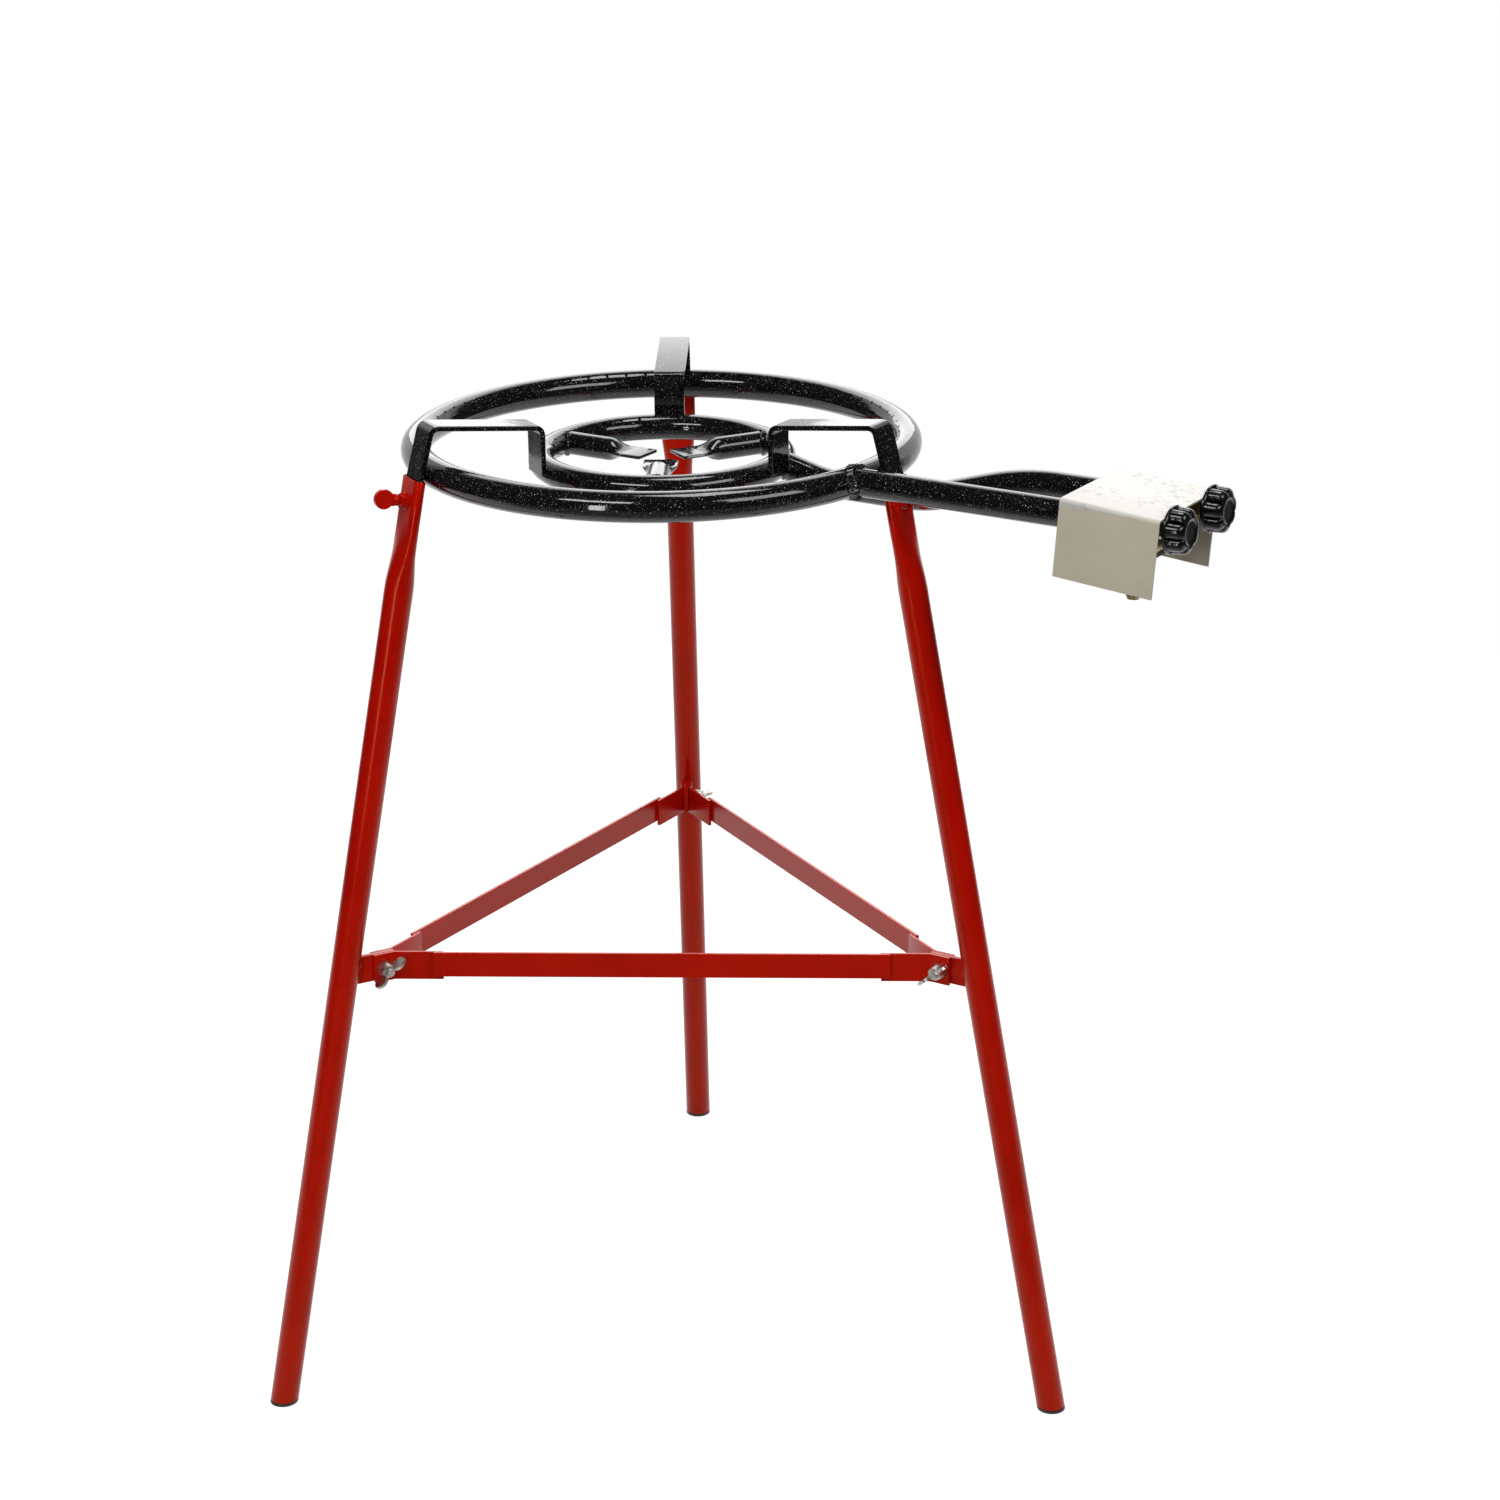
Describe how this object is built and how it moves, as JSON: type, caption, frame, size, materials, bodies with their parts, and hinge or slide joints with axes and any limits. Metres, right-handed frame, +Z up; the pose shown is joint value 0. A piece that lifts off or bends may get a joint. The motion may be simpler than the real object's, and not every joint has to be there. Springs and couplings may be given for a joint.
{
  "type": "propane burner stand",
  "caption": "Two-ring outdoor gas burner with pan supports, twin taps under a sheet cover, and a braced three-leg stand.",
  "frame": {"origin": "on the floor, under the common axis of the rings", "axes": "+Z up; +X along the feed tubes towards the knobs; leg 1 stands in the XZ plane on the +X side"},
  "size_m": [0.6608, 0.632, 0.7792],
  "materials": {
    "black_enamel": "glossy vitreous enamel with fine pale specks",
    "red_paint": "glossy powder coat",
    "black_plug": "moulded plastic",
    "zinc": "bright zinc plate",
    "knob_plastic": "glossy moulded bakelite",
    "cover_sheet": "satin beige powder coat",
    "brass": "turned, slightly dull"
  },
  "bodies": {
    "stand": {"outer_ring": "black_enamel", "inner_ring": "black_enamel", "burner_finger_1": "black_enamel", "burner_finger_2": "black_enamel", "burner_finger_3": "black_enamel", "outer_feed_tube": "black_enamel", "inner_feed_tube": "black_enamel", "pan_support_1": "black_enamel", "pan_support_2": "black_enamel", "pan_support_3": "black_enamel", "leg_1": "red_paint", "leg_2": "red_paint", "leg_3": "red_paint", "foot_plug_1": "black_plug", "foot_plug_2": "black_plug", "foot_plug_3": "black_plug", "weld_nuts": "red_paint", "brace_tab_1": "red_paint", "brace_tab_2": "red_paint", "brace_tab_3": "red_paint", "brace_bar_1": "red_paint", "brace_bar_2": "red_paint", "brace_bar_3": "red_paint", "brace_cheek_1": "red_paint", "brace_cheek_2": "red_paint", "brace_cheek_3": "red_paint", "brace_cheek_4": "red_paint", "brace_cheek_5": "red_paint", "brace_cheek_6": "red_paint", "brace_bolt_1": "zinc", "brace_bolt_2": "zinc", "brace_bolt_3": "zinc", "brace_washers": "zinc", "gas_manifold": "brass", "manifold_plugs": "brass", "hose_nozzle": "brass", "outer_jet_holder": "brass", "inner_jet_holder": "brass", "outer_gas_jet": "brass", "inner_gas_jet": "brass", "outer_valve_body": "brass", "inner_valve_body": "brass", "outer_gland_nut": "brass", "inner_gland_nut": "brass", "tap_panel": "cover_sheet", "cover_strap": "black_enamel", "control_cover": "cover_sheet"},
    "thumb_screw_1": {"thumb_screw_1": "red_paint"},
    "wing_nut_1": {"wing_nut_1": "zinc"},
    "thumb_screw_2": {"thumb_screw_2": "red_paint"},
    "wing_nut_2": {"wing_nut_2": "zinc"},
    "thumb_screw_3": {"thumb_screw_3": "red_paint"},
    "wing_nut_3": {"wing_nut_3": "zinc"},
    "outer_knob": {"outer_knob": "knob_plastic", "outer_spindle": "zinc", "outer_valve_plug": "brass"},
    "inner_knob": {"inner_knob": "knob_plastic", "inner_spindle": "zinc", "inner_valve_plug": "brass"}
  },
  "joints": [
    {"name": "thumb_screw_1_turn", "type": "hinge", "parent": "stand", "child": "thumb_screw_1", "pos_m": [0.20871, 0, 0.72232], "axis": [0.9809, 0, 0.1946], "range_deg": [0, 540]},
    {"name": "thumb_screw_2_turn", "type": "hinge", "parent": "stand", "child": "thumb_screw_2", "pos_m": [-0.10435, 0.18075, 0.72232], "axis": [-0.4904, 0.8495, 0.1946], "range_deg": [0, 540]},
    {"name": "thumb_screw_3_turn", "type": "hinge", "parent": "stand", "child": "thumb_screw_3", "pos_m": [-0.10435, -0.18075, 0.72232], "axis": [-0.4904, -0.8495, 0.1946], "range_deg": [0, 540]},
    {"name": "wing_nut_1_turn", "type": "hinge", "parent": "stand", "child": "wing_nut_1", "pos_m": [0.25048, 0, 0.3555], "axis": [0, -1, 0], "range_deg": [0, 540]},
    {"name": "wing_nut_2_turn", "type": "hinge", "parent": "stand", "child": "wing_nut_2", "pos_m": [-0.12524, 0.21692, 0.3555], "axis": [0.866, 0.5, 0], "range_deg": [0, 540]},
    {"name": "wing_nut_3_turn", "type": "hinge", "parent": "stand", "child": "wing_nut_3", "pos_m": [-0.12524, -0.21692, 0.3555], "axis": [0.866, -0.5, 0], "range_deg": [0, 540]},
    {"name": "outer_knob_turn", "type": "hinge", "parent": "stand", "child": "outer_knob", "pos_m": [0.4458, -0.0335, 0.7425], "axis": [1, 0, 0], "range_deg": [0, 180]},
    {"name": "inner_knob_turn", "type": "hinge", "parent": "stand", "child": "inner_knob", "pos_m": [0.4458, 0.0295, 0.7425], "axis": [1, 0, 0], "range_deg": [0, 180]}
  ]
}
